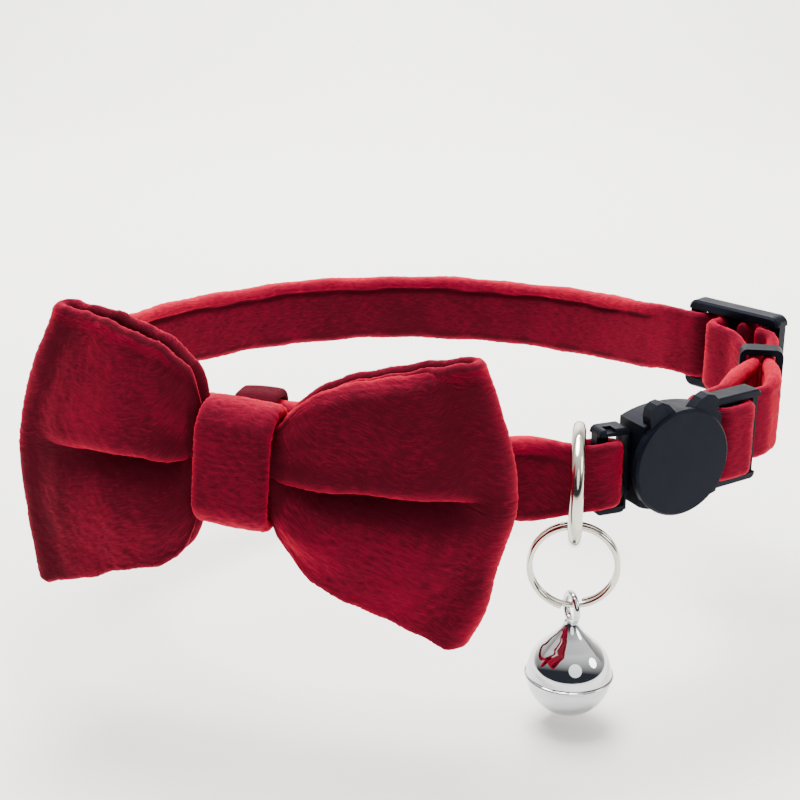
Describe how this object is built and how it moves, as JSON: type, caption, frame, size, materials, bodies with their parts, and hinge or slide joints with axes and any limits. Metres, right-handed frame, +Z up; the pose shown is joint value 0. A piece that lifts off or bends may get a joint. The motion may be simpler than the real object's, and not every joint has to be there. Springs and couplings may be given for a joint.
{
  "type": "pet bow tie collar",
  "caption": "Velvet cat collar with a bow tie, a breakaway cat head buckle, a strap slider and a small bell hanging from a split ring",
  "frame": {"origin": "middle of the neck opening at half the strap width", "axes": "+Z up along the neck, bow and buckle at the front toward -Y, +X to the buckle side"},
  "size_m": [0.0997, 0.0847, 0.0506],
  "materials": {
    "velvet": "short pile velvet, brushed, crimson",
    "plastic": "injection moulded, satin, blue black",
    "nickel": "nickel plated wire, polished",
    "bell_chrome": "pressed shell, bright chrome plated"
  },
  "bodies": {
    "collar": {"strap": "velvet", "bow": "velvet", "bow_knot_band": "velvet", "bow_strap_loop": "velvet", "buckle_tongue_half": "plastic", "buckle_cat_head_half": "plastic", "slider": "plastic", "keeper_loop": "plastic", "o_ring": "nickel"},
    "ring": {"split_ring": "nickel"},
    "bell": {"bell": "bell_chrome", "bell_pea": "nickel"}
  },
  "joints": [
    {"name": "split_ring_swing", "type": "hinge", "parent": "collar", "child": "ring", "pos_m": [0.01802, -0.03408, -0.0075], "axis": [0.1331, 0.9911, 0], "range_deg": [-25, 25]},
    {"name": "bell_swing", "type": "hinge", "parent": "ring", "child": "bell", "pos_m": [0.01802, -0.03408, -0.01625], "axis": [0.9911, -0.1331, 0], "range_deg": [-45, 45]}
  ]
}
